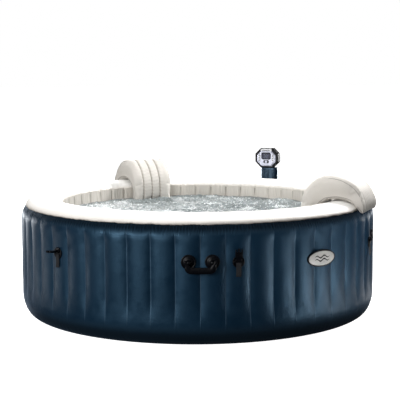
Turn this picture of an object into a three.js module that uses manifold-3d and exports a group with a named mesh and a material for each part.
// Inflatable hot tub: a round air-filled wall of vertical panels around a water well, with
// carrying handles, cover buckles, two lift-off headrests, and a pump and heater unit that
// stands behind the wall and carries the control head on a post.
// Millimetres, +Z up. The origin is on the tub's axis at floor level. The front of the tub
// faces -Y. Everything mounted round the tub is drawn at the front, facing -Y, in a group
// that is then turned about the tub's axis by its own angle.

import * as THREE from 'three';
import { mergeVertices } from 'three/addons/utils/BufferGeometryUtils.js';
import Module from 'manifold-3d';

const wasm = await Module();
wasm.setup();

// Tub
const TUB_RADIUS = 1080;
const TUB_HEIGHT = 710;
const WELL_RADIUS = 825;
const FOOT_RADIUS = 1016;
const WALL_FULL_LOW = 135;
const WALL_FULL_HIGH = 590;
const COLLAR_RADIUS = 1047;
const COLLAR_Z = 659;
const RIM_INNER_Z = 668;
const PANELS = 50;
const PANEL_DEPTH = 14;
const SKIN = 3;
const SHEET = 2;
const GAP = 0.3;

// Places round the tub, in degrees from the front, positive towards +X
const PANEL_ANGLE = 360 / PANELS;
const HANDLE_ANGLES = [0, 16 * PANEL_ANGLE, -16 * PANEL_ANGLE];
const BUCKLE_ANGLES = [1.5, 9.5, 17.5, -22.5, -14.5, -6.5].map((panel) => panel * PANEL_ANGLE);
const CLIP_SWINGS = [0, 0, 0, 0, 0, 85];
const BADGE_ANGLE = 38.3;
const CONTROL_ANGLE = 155.7;
const HEADREST_ANGLES = { headrest_right: 66.8, headrest_left: -156.1 };
const INFLATION_ANGLE = -176.4;
const DRAIN_ANGLE = 176.4;

// Fittings on the outer wall
const FITTING_Z = 463;
const HANDLE_SPAN = 127;
const HANDLE_PAD_RADIUS = 40;
const HANDLE_WIDTH = 180;
const HANDLE_BAR = 31;
const HANDLE_BOTTOM = 405;
const HANDLE_STANDOFF = 24;
const HANDLE_THICKNESS = 16;
const PATCH_RADIUS = 33;
const STRAP_WIDTH = 28;
const INFLATION_Z = 560;
const DRAIN_Z = 100;

// Headrests
const HEADREST_MID_RADIUS = 920;
const HEADREST_LENGTH = 292;
const HEADREST_BEND_RADIUS = 2500;

// Pump unit, in the frame of its own group
const WATER_X = 85;
const WATER_Z = 300;
const AIR_Z = 180;
const BUBBLE_RING_Z = 45;
const PIPE_OUTER = 27;
const PIPE_INNER = 22;
const UNIT_WIDTH = 420;
const UNIT_FRONT = -1165;
const UNIT_BACK = -1495;
const UNIT_HEIGHT = 600;
const UNIT_WALL = 4;
const POST_Y = -1310;
const SWIVEL_Y = -1292;
const HEAD_Z = 827;
const HEAD_WIDTH = 172;
const HEAD_HEIGHT = 141;
const HEAD_CORNER = 42;
const BEZEL_INSET = 8;
const HEAD_FRONT = -1226;
const BEZEL_THICKNESS = 13;
const SCREEN_WIDTH = 62;
const SCREEN_HEIGHT = 48;
const SCREEN_Z = HEAD_Z + 12;

const finish = (color, roughness, metalness = 0) =>
  new THREE.MeshStandardMaterial({ color, roughness, metalness });
const NAVY_PVC = finish(0x1c2e40, 0.45);
const WHITE_PVC = finish(0xf3f1ea, 0.5);
const BEIGE_PVC = finish(0xcdc5b6, 0.5);
const GREY_PVC = finish(0x8d9599, 0.6);
const CREAM_PVC = finish(0xefeae0, 0.5);
const BLACK_PLASTIC = finish(0x0b0c10, 0.25);
const NAVY_PLASTIC = finish(0x162335, 0.35);
const SILVER_PLASTIC = finish(0xc3c5d4, 0.35);
const GREY_PLASTIC = finish(0x9a9fa6, 0.5);
const BADGE_FACE = finish(0xb9bcbd, 0.35);
const SCREEN_GLASS = finish(0x2a3048, 0.1);
const PAPER = finish(0xe6e6e0, 0.9);
const STEEL = finish(0xb4b7ba, 0.3, 1);
const BOARD = finish(0x1f5a36, 0.6);

const radians = THREE.MathUtils.degToRad;

// ---- Solids ---------------------------------------------------------------------------

function toSolid(geometry) {
  const bare = geometry.clone();
  bare.deleteAttribute('normal');
  bare.deleteAttribute('uv');
  const merged = mergeVertices(bare);
  const index = merged.index.array;
  const triangles = [];
  for (let i = 0; i < index.length; i += 3) {
    const [a, b, c] = [index[i], index[i + 1], index[i + 2]];
    if (a !== b && b !== c && a !== c) {
      triangles.push(a, b, c);
    }
  }
  const vertProperties = new Float32Array(merged.attributes.position.array);
  return new wasm.Manifold(
    new wasm.Mesh({ numProp: 3, vertProperties, triVerts: new Uint32Array(triangles) })
  );
}

function toGeometry(solid) {
  const mesh = solid.getMesh();
  const geometry = new THREE.BufferGeometry();
  geometry.setAttribute('position', new THREE.BufferAttribute(mesh.vertProperties, 3));
  geometry.setIndex(new THREE.BufferAttribute(mesh.triVerts, 1));
  geometry.computeVertexNormals();
  return geometry;
}

const cut = (body, ...tools) =>
  toGeometry(tools.reduce((solid, tool) => solid.subtract(toSolid(tool)), toSolid(body)));
const join = (body, ...others) =>
  toGeometry(others.reduce((solid, other) => solid.add(toSolid(other)), toSolid(body)));
const common = (body, tool) => toGeometry(toSolid(body).intersect(toSolid(tool)));

const asPoints = (pairs) => pairs.map(([x, y]) => new THREE.Vector2(x, y));

// A ring turned about Z from closed (radius, z) pairs, listed up the outside first.
const ringZ = (pairs, segments) =>
  new THREE.LatheGeometry(asPoints([...pairs, pairs[0]]), segments).rotateX(Math.PI / 2);

// A ring turned about the line (x, z) that runs along Y, from closed (radius, y) pairs.
const ringY = (pairs, segments, x = 0, z = 0) =>
  new THREE.LatheGeometry(asPoints([...pairs, pairs[0]]), segments).translate(x, 0, z);

const tubeY = (outer, inner, y0, y1, segments, x = 0, z = 0) =>
  ringY([[outer, y0], [outer, y1], [inner, y1], [inner, y0]], segments, x, z);

const rodY = (radius, y0, y1, x = 0, z = 0, segments = 16) =>
  new THREE.CylinderGeometry(radius, radius, y1 - y0, segments).translate(x, (y0 + y1) / 2, z);

const rodZ = (radius, z0, z1, x = 0, y = 0, segments = 16) =>
  new THREE.CylinderGeometry(radius, radius, z1 - z0, segments)
    .rotateX(Math.PI / 2)
    .translate(x, y, (z0 + z1) / 2);

const rodX = (radius, x0, x1, y, z, segments = 10) =>
  new THREE.CylinderGeometry(radius, radius, x1 - x0, segments)
    .rotateZ(Math.PI / 2)
    .translate((x0 + x1) / 2, y, z);

const block = (x0, x1, y0, y1, z0, z1) =>
  new THREE.BoxGeometry(x1 - x0, y1 - y0, z1 - z0)
    .translate((x0 + x1) / 2, (y0 + y1) / 2, (z0 + z1) / 2);

// A flat shape drawn as seen from inside the tub, (x, z), with its face towards +Y at y.
function plateY(shape, y, depth, curveSegments = 4) {
  const toWall = new THREE.Matrix4().makeBasis(
    new THREE.Vector3(1, 0, 0), new THREE.Vector3(0, 0, 1), new THREE.Vector3(0, -1, 0)
  );
  const settings = { depth, bevelEnabled: false, curveSegments };
  return new THREE.ExtrudeGeometry(shape, settings).applyMatrix4(toWall).translate(0, y, 0);
}

function plateZ(shape, z0, z1, curveSegments = 4) {
  const settings = { depth: z1 - z0, bevelEnabled: false, curveSegments };
  return new THREE.ExtrudeGeometry(shape, settings).translate(0, 0, z0);
}

const polygon = (pairs) => new THREE.Shape(asPoints(pairs));

function roundedRectangle(width, height, radius, x = 0, y = 0) {
  const [w, h] = [width / 2 - radius, height / 2 - radius];
  const shape = new THREE.Shape();
  shape.absarc(x + w, y + h, radius, 0, Math.PI / 2);
  shape.absarc(x - w, y + h, radius, Math.PI / 2, Math.PI);
  shape.absarc(x - w, y - h, radius, Math.PI, 1.5 * Math.PI);
  shape.absarc(x + w, y - h, radius, 1.5 * Math.PI, 2 * Math.PI);
  return shape;
}

function octagon(width, height, corner, x, y) {
  const [w, h] = [width / 2, height / 2];
  return polygon([
    [x + w, y - h + corner], [x + w, y + h - corner], [x + w - corner, y + h],
    [x - w + corner, y + h], [x - w, y + h - corner], [x - w, y - h + corner],
    [x - w + corner, y - h], [x + w - corner, y - h],
  ]);
}

// ---- Scene graph ----------------------------------------------------------------------

function piece(name, geometry, material) {
  const mesh = new THREE.Mesh(geometry, material);
  mesh.name = name;
  return mesh;
}

function aroundTub(angle, ...meshes) {
  const group = new THREE.Group();
  group.rotation.z = radians(angle);
  group.add(...meshes);
  return group;
}

const turned = (geometry, angle) => geometry.rotateZ(radians(angle));

// ---- Tub skins ------------------------------------------------------------------------

// The foot of the wall, rounded from the flat base up to the full radius.
function footArc(steps) {
  const width = TUB_RADIUS - FOOT_RADIUS;
  const height = WALL_FULL_LOW - GAP;
  return Array.from({ length: steps }, (_, i) => {
    const turn = (i / steps) * (Math.PI / 2);
    return [FOOT_RADIUS + width * Math.sin(turn), GAP + height * (1 - Math.cos(turn))];
  });
}

// Draws the wall in at each seam between two panels.
function pleat(geometry) {
  const position = geometry.attributes.position;
  for (let i = 0; i < position.count; i += 1) {
    const [x, y, z] = [position.getX(i), position.getY(i), position.getZ(i)];
    const inWall = z > WALL_FULL_LOW - 1 && z < WALL_FULL_HIGH + 1;
    const seam = (1 + Math.cos(PANELS * Math.atan2(x, -y))) / 2;
    const scale = 1 - (inWall ? (PANEL_DEPTH * seam) / TUB_RADIUS : 0);
    position.setXYZ(i, x * scale, y * scale, z);
  }
  return geometry;
}

function wallOpenings(clearance) {
  const through = (radius, x, z, angle) =>
    turned(rodY(radius + clearance, -TUB_RADIUS - 60, -WELL_RADIUS + 60, x, z), angle);
  return [
    through(PIPE_OUTER + 1, -WATER_X, WATER_Z, CONTROL_ANGLE),
    through(PIPE_OUTER + 1, WATER_X, WATER_Z, CONTROL_ANGLE),
    through(16, 0, AIR_Z, CONTROL_ANGLE),
  ];
}

const valveOpening = (radius, angle, z) =>
  turned(rodY(radius, -TUB_RADIUS - 60, -TUB_RADIUS + 120, 0, z), angle);

function outerWallSkin() {
  const outline = [
    ...footArc(3), [TUB_RADIUS, WALL_FULL_LOW], [TUB_RADIUS, WALL_FULL_HIGH],
    [TUB_RADIUS - 6, 622], [TUB_RADIUS - 18, 645], [COLLAR_RADIUS, COLLAR_Z - GAP],
  ];
  const inside = [
    [COLLAR_RADIUS - SKIN, COLLAR_Z - SKIN], [TUB_RADIUS - SKIN, WALL_FULL_HIGH],
    [TUB_RADIUS - SKIN, WALL_FULL_LOW], [FOOT_RADIUS, SKIN],
  ];
  const wall = pleat(ringZ([...outline, ...inside], 2 * PANELS));
  const openings = [
    ...wallOpenings(0),
    valveOpening(21, INFLATION_ANGLE, INFLATION_Z),
    valveOpening(19, DRAIN_ANGLE, DRAIN_Z),
  ];
  return piece('outer_wall_skin', cut(wall, ...openings), NAVY_PVC);
}

function topRimSkin() {
  const outline = [
    [COLLAR_RADIUS - 2, COLLAR_Z + SKIN + GAP], [COLLAR_RADIUS - 24, 688], [1000, 700],
    [950, TUB_HEIGHT], [895, 703], [855, 688], [WELL_RADIUS + 6, RIM_INNER_Z + GAP],
  ];
  const inside = [
    [WELL_RADIUS + 10, RIM_INNER_Z + GAP], [905, TUB_HEIGHT - 11], [990, TUB_HEIGHT - 14],
    [COLLAR_RADIUS - 6, COLLAR_Z + SKIN + GAP],
  ];
  return piece('top_rim_skin', ringZ([...outline, ...inside], PANELS), WHITE_PVC);
}

function innerWallSkin() {
  const [low, high] = [6, RIM_INNER_Z - SKIN];
  const wall = ringZ(
    [[WELL_RADIUS + SKIN, low], [WELL_RADIUS + SKIN, high], [WELL_RADIUS, high],
      [WELL_RADIUS, low]], PANELS
  );
  return piece('inner_wall_skin', cut(wall, ...wallOpenings(0)), BEIGE_PVC);
}

function disc(name, radius, z0, z1, material) {
  return piece(name, rodZ(radius, z0, z1, 0, 0, PANELS), material);
}

// Upright webs that tie the two walls together at every second seam, on a middle band.
function wallBaffles() {
  const [inner, middle, outer, half] = [WELL_RADIUS + 7, 950, TUB_RADIUS - 26, SHEET / 2];
  const rib = (root, tip, seam) => {
    const angle = radians(seam * PANEL_ANGLE);
    const [c, s] = [Math.cos(angle), Math.sin(angle)];
    const place = (r, t) => [r * c - t * s, r * s + t * c];
    return [place(root, -half), place(tip, -half), place(tip, half), place(root, half)];
  };
  const seams = Array.from({ length: PANELS / 2 }, (_, i) => 2 * i);
  const web = polygon(seams.flatMap((seam) => rib(middle + half, outer, seam)));
  web.holes.push(polygon(seams.flatMap((seam) => rib(middle - half, inner, seam))));
  const standing = plateZ(web, 115, 585).rotateZ(-Math.PI / 2);
  return piece('wall_baffles', cut(standing, ...wallOpenings(3)), GREY_PVC);
}

function bubbleRing() {
  const [r, z, half] = [WELL_RADIUS - 19, BUBBLE_RING_Z, 17];
  const section = [
    [r + half, z - half], [r + half, z + half], [r - 4, z + half], [r - half, z],
    [r - 4, z - half],
  ];
  return piece('bubble_ring', ringZ(section, PANELS), GREY_PVC);
}

function inflationValve() {
  const [face, z] = [-TUB_RADIUS - 1, INFLATION_Z];
  const collar = ringY(
    [[15, face + 50], [15, face - 6], [30, face - 6], [30, face], [20, face], [20, face + 50]],
    20, 0, z
  );
  const cap = ringY(
    [[0, face - 15], [22, face - 15], [22, face - 6 - GAP], [14, face - 6 - GAP],
      [14, face + 12], [0, face + 12]], 20, 0, z
  );
  return aroundTub(
    INFLATION_ANGLE,
    piece('inflation_valve', collar, GREY_PLASTIC),
    piece('inflation_valve_cap', cap, BLACK_PLASTIC)
  );
}

function drainValve() {
  const [face, z] = [-TUB_RADIUS - 1, DRAIN_Z];
  const spout = ringY(
    [[13, face + 60], [13, face - 18], [18, face - 18], [18, face - 4], [27, face - 4],
      [27, face], [18, face], [18, face + 60]], 20, 0, z
  );
  const cap = ringY(
    [[0, face - 23], [23, face - 23], [23, face - 7], [18.6, face - 7],
      [18.6, face - 18 - GAP], [0, face - 18 - GAP]], 20, 0, z
  );
  return aroundTub(
    DRAIN_ANGLE,
    piece('drain_valve', spout, GREY_PLASTIC),
    piece('drain_valve_cap', cap, BLACK_PLASTIC)
  );
}

// ---- Fittings on the outer wall -------------------------------------------------------

function badge() {
  const oval = new THREE.Shape();
  oval.absellipse(0, 440, 106, 48, 0, 2 * Math.PI);
  const plate = plateY(oval, -TUB_RADIUS - 1, 5, 16);
  return aroundTub(BADGE_ANGLE, piece('badge_plate', plate, BADGE_FACE));
}

function handleBase(name) {
  const [face, half] = [-TUB_RADIUS - 1, HANDLE_SPAN / 2];
  const pin = -TUB_RADIUS - HANDLE_STANDOFF - HANDLE_THICKNESS / 2;
  const side = (sign) => {
    const end = sign * (HANDLE_WIDTH / 2 - 2);
    return [
      rodY(HANDLE_PAD_RADIUS, face - 5, face, sign * half, FITTING_Z, 20),
      block(sign * half - 8, sign * half + 8, pin - 9, face - 4, FITTING_Z - 12, FITTING_Z + 12),
      rodX(5, Math.min(0, end), Math.max(0, end), pin, FITTING_Z),
    ];
  };
  const web = block(-half, half, face - 3, face, FITTING_Z - 8, FITTING_Z + 8);
  const between = block(-half, half, pin - 6, pin + 6, FITTING_Z - 6, FITTING_Z + 6);
  const whole = join(web, ...side(-1), ...side(1));
  return piece(name, cut(whole, between), BLACK_PLASTIC);
}

function handleGrip(name) {
  const [w, top, bottom] = [HANDLE_WIDTH / 2, FITTING_Z + 12, HANDLE_BOTTOM];
  const [leg, round] = [16, 18];
  const outline = polygon([
    [-w, top], [-w, bottom + round], [-w + 5, bottom + 5], [-w + round, bottom],
    [w - round, bottom], [w - 5, bottom + 5], [w, bottom + round], [w, top],
    [w - leg, top], [w - leg, bottom + HANDLE_BAR], [-w + leg, bottom + HANDLE_BAR],
    [-w + leg, top],
  ]);
  const front = -TUB_RADIUS - HANDLE_STANDOFF;
  const bore = rodX(5.6, -w - 1, w + 1, front - HANDLE_THICKNESS / 2, FITTING_Z, 12);
  return piece(name, cut(plateY(outline, front, HANDLE_THICKNESS), bore), BLACK_PLASTIC);
}

const handle = (angle, i) =>
  aroundTub(angle, handleBase(`handle_base_${i + 1}`), handleGrip(`handle_grip_${i + 1}`));

const CLIP_HINGE_Y = -TUB_RADIUS - 13;
const CLIP_HINGE_Z = 470;

function coverPatch(name) {
  const [face, ear] = [-TUB_RADIUS - 1, STRAP_WIDTH / 2 + 4];
  const patch = rodY(PATCH_RADIUS, face - 3, face, 0, FITTING_Z - 3, 18);
  const tail = block(-STRAP_WIDTH / 2, STRAP_WIDTH / 2, face - 6, face - 2, 380, 452);
  const ears = [-1, 1].map((sign) => {
    const x = sign * (ear - 2);
    return block(x - 2, x + 2, CLIP_HINGE_Y - 4, face - 2, CLIP_HINGE_Z - 6, CLIP_HINGE_Z + 6);
  });
  const pin = rodX(2.5, -ear + 1, ear - 1, CLIP_HINGE_Y, CLIP_HINGE_Z);
  return piece(name, join(patch, tail, ...ears, pin), BLACK_PLASTIC);
}

// The plug half of a side-release buckle: a barrel on the hinge pin, a body and three prongs.
// It stands up against the wall, or is swung out on its pin by a number of degrees.
function coverClip(name, swing) {
  const [barrel, body, low] = [STRAP_WIDTH / 2 - 0.5, 20, CLIP_HINGE_Z - 5];
  const outline = polygon([
    [-barrel, low], [barrel, low], [barrel, low + 14], [body, low + 18], [body, 512],
    [body - 2, 528], [body - 8, 528], [body - 7, 514], [5, 514], [4, 533], [-4, 533],
    [-5, 514], [7 - body, 514], [8 - body, 528], [2 - body, 528], [-body, 512],
    [-body, low + 18], [-barrel, low + 14],
  ]);
  const plate = plateY(outline, CLIP_HINGE_Y + 5, 10);
  const bore = rodX(3.1, -barrel - 1, barrel + 1, CLIP_HINGE_Y, CLIP_HINGE_Z, 12);
  const clip = cut(plate, bore).translate(0, -CLIP_HINGE_Y, -CLIP_HINGE_Z);
  clip.rotateX(radians(swing)).translate(0, CLIP_HINGE_Y, CLIP_HINGE_Z);
  return piece(name, clip, BLACK_PLASTIC);
}

const buckle = (angle, i) =>
  aroundTub(angle, coverPatch(`cover_patch_${i + 1}`),
    coverClip(`cover_clip_${i + 1}`, CLIP_SWINGS[i]));

// ---- Headrests ------------------------------------------------------------------------

// A thick saddle over the rim: its section in (radius, z), swept along a gentle bend.
function headrest(name) {
  const convex = new THREE.SplineCurve(asPoints([
    [704, 600], [702, 680], [722, 760], [791, 832], [880, 859], [972, 845], [1050, 793],
    [1096, 713], [1101, 662], [1091, 630],
  ]));
  const concave = new THREE.SplineCurve(asPoints([
    [1077, 628], [1069, 645], [1051, 664], [1028, 691], [1001, 706], [950, 716], [890, 716],
    [858, 708], [833, 690], [812, 660], [799, 625], [793, 590],
  ]));
  const section = new THREE.Shape([
    ...convex.getPoints(12), ...concave.getPoints(11), new THREE.Vector2(780, 566),
    new THREE.Vector2(718, 566),
  ]);
  const settings = { depth: HEADREST_LENGTH, steps: 4, bevelEnabled: false };
  const saddle = new THREE.ExtrudeGeometry(section, settings);
  saddle.translate(0, 0, -HEADREST_LENGTH / 2);
  const bendOffset = HEADREST_BEND_RADIUS - HEADREST_MID_RADIUS;
  const position = saddle.attributes.position;
  for (let i = 0; i < position.count; i += 1) {
    const reach = position.getX(i) + bendOffset;
    const angle = -position.getZ(i) / HEADREST_BEND_RADIUS;
    const y = bendOffset - reach * Math.cos(angle);
    position.setXYZ(i, reach * Math.sin(angle), y, position.getY(i));
  }
  return aroundTub(HEADREST_ANGLES[name], piece(name, saddle, CREAM_PVC));
}

// ---- Water and air lines --------------------------------------------------------------

const LINE_END_Y = -1128;

function waterFitting(name, x) {
  const section = [
    [PIPE_OUTER, LINE_END_Y], [PIPE_OUTER, -811], [42, -811], [42, -805],
    [PIPE_INNER, -805], [PIPE_INNER, LINE_END_Y],
  ];
  return piece(name, ringY(section, 16, x, WATER_Z), GREY_PLASTIC);
}

const waterPipe = (name, x, endY) =>
  piece(name, tubeY(PIPE_OUTER, PIPE_INNER, endY, LINE_END_Y - GAP, 16, x, WATER_Z),
    GREY_PLASTIC);

const unionNut = (name, x) =>
  piece(name, tubeY(38, PIPE_OUTER + 1.5, LINE_END_Y - 22, LINE_END_Y + 16, 12, x, WATER_Z),
    BLACK_PLASTIC);

function airLine() {
  const fitting = [
    [15, LINE_END_Y], [15, -811], [24, -811], [24, -806], [11, -806], [11, LINE_END_Y],
  ];
  return [
    piece('air_fitting', ringY(fitting, 12, 0, AIR_Z), GREY_PLASTIC),
    piece('air_pipe', tubeY(15, 11, -1267, LINE_END_Y - GAP, 12, 0, AIR_Z), GREY_PLASTIC),
  ];
}

// An open cup on the water intake with a pleated cartridge that lifts out of it.
function filter() {
  const [x, y] = [-WATER_X, -742];
  const cage = ringZ(
    [[24, 220], [56, 220], [56, 372], [52, 372], [52, 225], [24, 225]], 20
  ).translate(x, y, 0);
  const intake = rodY(PIPE_INNER, -811, -760, x, WATER_Z);
  const pleats = 16;
  const star = polygon(Array.from({ length: 2 * pleats }, (_, i) => {
    const [radius, angle] = [i % 2 ? 44 : 49, (i * Math.PI) / pleats];
    return [x + radius * Math.cos(angle), y + radius * Math.sin(angle)];
  }));
  star.holes.push(new THREE.Path().absellipse(x, y, 20, 20, 0, 2 * Math.PI, true));
  return [
    piece('filter_cage', cut(cage, intake), GREY_PLASTIC),
    piece('filter_cartridge', plateZ(star, 226, 366, 8), PAPER),
  ];
}

// ---- Pump unit ------------------------------------------------------------------------

function unitShells() {
  const depth = UNIT_FRONT - UNIT_BACK;
  const middle = (UNIT_FRONT + UNIT_BACK) / 2;
  const outside = plateZ(roundedRectangle(UNIT_WIDTH, depth, 45, 0, middle), 12 + GAP,
    UNIT_HEIGHT);
  const inside = plateZ(
    roundedRectangle(UNIT_WIDTH - 2 * UNIT_WALL, depth - 2 * UNIT_WALL, 41, 0, middle), 0,
    UNIT_HEIGHT - UNIT_WALL
  );
  const hollow = cut(outside, inside);
  const frontHalf = block(-300, 300, middle + GAP / 2, UNIT_FRONT + 50, 0, 700);
  const rearHalf = block(-300, 300, UNIT_BACK - 50, middle - GAP / 2, 0, 700);
  const ports = [
    rodY(PIPE_OUTER + 1, UNIT_FRONT - 20, UNIT_FRONT + 20, -WATER_X, WATER_Z),
    rodY(PIPE_OUTER + 1, UNIT_FRONT - 20, UNIT_FRONT + 20, WATER_X, WATER_Z),
    rodY(16, UNIT_FRONT - 20, UNIT_FRONT + 20, 0, AIR_Z),
  ];
  const louvres = Array.from({ length: 6 }, (_, i) =>
    block(-110, 110, UNIT_BACK - 20, UNIT_BACK + 20, 300 + 30 * i, 310 + 30 * i));
  const glandHole = rodY(11, UNIT_BACK - 20, UNIT_BACK + 20, 140, 90);
  const wireHole = rodZ(10, 500, 700, 0, SWIVEL_Y);
  return [
    piece('control_front_shell', cut(common(hollow, frontHalf), ...ports, wireHole),
      NAVY_PLASTIC),
    piece('control_rear_shell', cut(common(hollow, rearHalf), ...louvres, glandHole),
      NAVY_PLASTIC),
  ];
}

function basePlate() {
  const middle = (UNIT_FRONT + UNIT_BACK) / 2;
  const outline = roundedRectangle(UNIT_WIDTH, UNIT_FRONT - UNIT_BACK, 45, 0, middle);
  return piece('control_base_plate', plateZ(outline, 0, 12), NAVY_PLASTIC);
}

function circulationPump() {
  const [x, z] = [-WATER_X, WATER_Z];
  const chamber = ringY(
    [[60, -1262], [60, -1205], [PIPE_OUTER + 1, -1205], [PIPE_OUTER + 1, -1210],
      [55, -1210], [55, -1262]], 20, x, z
  );
  const spout = rodX(14, x + 57, WATER_X - 33, -1235, z, 12);
  const spoutBore = rodX(10, x + 40, WATER_X, -1235, z, 12);
  const motor = ringY(
    [[0, -1400], [48, -1400], [48, -1263], [6, -1263], [6, -1320], [0, -1320]], 20, x, z
  );
  const hub = join(rodY(5, -1316, -1248, x, z, 12), rodY(48, -1256, -1250, x, z, 20),
    rodY(12, -1252, -1216, x, z, 12));
  const vanes = Array.from({ length: 6 }, (_, i) =>
    block(8, 46, -1252, -1218, -1.5, 1.5).rotateY((i * Math.PI) / 3).translate(x, 0, z));
  return [
    piece('pump_volute', cut(join(chamber, spout), spoutBore), GREY_PLASTIC),
    piece('pump_motor', motor, STEEL),
    piece('pump_impeller', join(hub, ...vanes), BLACK_PLASTIC),
  ];
}

function heater() {
  const shell = tubeY(32, 26, -1420, -1210, 16, WATER_X, WATER_Z);
  const port = rodX(10, WATER_X - 50, WATER_X, -1235, WATER_Z, 12);
  return piece('heater_tube', cut(shell, port), STEEL);
}

function airBlower() {
  const y = (UNIT_FRONT + UNIT_BACK) / 2;
  const housing = ringZ(
    [[60, 150], [60, 210], [56, 210], [56, 154], [8, 154], [8, 150]], 20
  ).translate(0, y, 0);
  const outlet = rodY(11, y + 30, y + 90, 0, AIR_Z, 16);
  const hub = join(rodZ(14, 158, 204, 0, 0, 16), rodZ(5, 136, 160, 0, 0, 12),
    rodZ(50, 158, 161, 0, 0, 20));
  const blades = Array.from({ length: 8 }, (_, i) =>
    block(10, 50, -1, 1, 160, 202).rotateZ((i * Math.PI) / 4));
  return [
    piece('blower_housing', cut(housing, outlet), GREY_PLASTIC),
    piece('blower_fan', join(hub, ...blades).translate(0, y, 0), BLACK_PLASTIC),
  ];
}

function electrics() {
  const gland = ringY(
    [[5, UNIT_BACK + 15], [5, UNIT_BACK - 22], [10, UNIT_BACK - 22], [16, UNIT_BACK - 6],
      [16, UNIT_BACK - GAP], [10, UNIT_BACK - GAP], [10, UNIT_BACK + 15]], 16, 140, 90
  );
  return [
    piece('circuit_board', block(-60, 60, -1450, -1448, 440, 560), BOARD),
    piece('cable_gland', gland, BLACK_PLASTIC),
  ];
}

function displayPost() {
  const column = plateZ(roundedRectangle(125, 80, 25, 0, POST_Y), UNIT_HEIGHT + GAP,
    HEAD_Z - HEAD_HEIGHT / 2 - 2);
  const spigot = rodZ(20, UNIT_HEIGHT + 20, HEAD_Z - HEAD_HEIGHT / 2 + 12, 0, SWIVEL_Y);
  const wireWay = rodZ(10, UNIT_HEIGHT - 10, HEAD_Z, 0, SWIVEL_Y);
  return piece('display_post', cut(join(column, spigot), wireWay), NAVY_PLASTIC);
}

const KEY_X = 50;
const POWER_Z = HEAD_Z - 27;

function controlHead() {
  const backOfBezel = HEAD_FRONT - BEZEL_THICKNESS;
  const wall = 3;
  const depth = 80;
  const outline = (inset) => octagon(HEAD_WIDTH - 2 * inset, HEAD_HEIGHT - 2 * inset,
    HEAD_CORNER - inset / 2, 0, HEAD_Z);
  const outside = plateY(outline(0), backOfBezel - GAP, depth);
  const inside = plateY(outline(wall), backOfBezel - GAP - wall, depth - 2 * wall);
  const mouth = plateY(outline(BEZEL_INSET + wall), backOfBezel + 10, 20);
  const swivelHole = rodZ(20.6, HEAD_Z - HEAD_HEIGHT / 2 - 10, HEAD_Z - 60, 0, SWIVEL_Y);
  const front = plateY(outline(BEZEL_INSET), HEAD_FRONT, BEZEL_THICKNESS);
  const keyShape = (width, height, radius, x, z, depth, y) =>
    plateY(roundedRectangle(width, height, radius, x, z), y, depth, 4);
  const screenHole = keyShape(SCREEN_WIDTH + 1, SCREEN_HEIGHT + 1, 12, 0, SCREEN_Z, 40,
    HEAD_FRONT + 10);
  const keyHoles = [-1, 1].map((sign) =>
    keyShape(15, 53, 7, sign * KEY_X, HEAD_Z, 40, HEAD_FRONT + 10));
  const powerHole = rodY(9.5, HEAD_FRONT - 30, HEAD_FRONT + 10, 0, POWER_Z);
  const keyFront = HEAD_FRONT + 2;
  const keys = [-1, 1].map((sign, i) =>
    piece(`button_${i + 1}`, keyShape(14, 52, 6.5, sign * KEY_X, HEAD_Z, 14, keyFront),
      SILVER_PLASTIC));
  return [
    piece('head_shell', cut(outside, inside, mouth, swivelHole), BLACK_PLASTIC),
    piece('head_bezel', cut(front, screenHole, ...keyHoles, powerHole), SILVER_PLASTIC),
    piece('head_screen', keyShape(SCREEN_WIDTH, SCREEN_HEIGHT, 11.5, 0, SCREEN_Z, 8,
      HEAD_FRONT - 1), SCREEN_GLASS),
    ...keys,
    piece('button_3', rodY(9, keyFront - 14, keyFront, 0, POWER_Z), NAVY_PLASTIC),
  ];
}

function pumpUnit() {
  return aroundTub(
    CONTROL_ANGLE,
    waterFitting('inlet_fitting', -WATER_X),
    waterFitting('outlet_fitting', WATER_X),
    waterPipe('inlet_pipe', -WATER_X, -1209),
    waterPipe('outlet_pipe', WATER_X, -1209),
    unionNut('inlet_nut', -WATER_X),
    unionNut('outlet_nut', WATER_X),
    ...airLine(),
    ...filter(),
    basePlate(),
    ...unitShells(),
    ...circulationPump(),
    heater(),
    ...airBlower(),
    ...electrics(),
    displayPost(),
    ...controlHead()
  );
}

const hotTub = new THREE.Group();
hotTub.add(
  outerWallSkin(),
  topRimSkin(),
  innerWallSkin(),
  disc('base_skin', FOOT_RADIUS - 5, 0, SHEET, NAVY_PVC),
  disc('floor_skin', WELL_RADIUS - 1, SHEET + GAP, SHEET + GAP + SKIN, GREY_PVC),
  wallBaffles(),
  bubbleRing(),
  inflationValve(),
  drainValve(),
  badge(),
  ...HANDLE_ANGLES.map(handle),
  ...BUCKLE_ANGLES.map(buckle),
  headrest('headrest_right'),
  headrest('headrest_left'),
  pumpUnit()
);

export default hotTub;
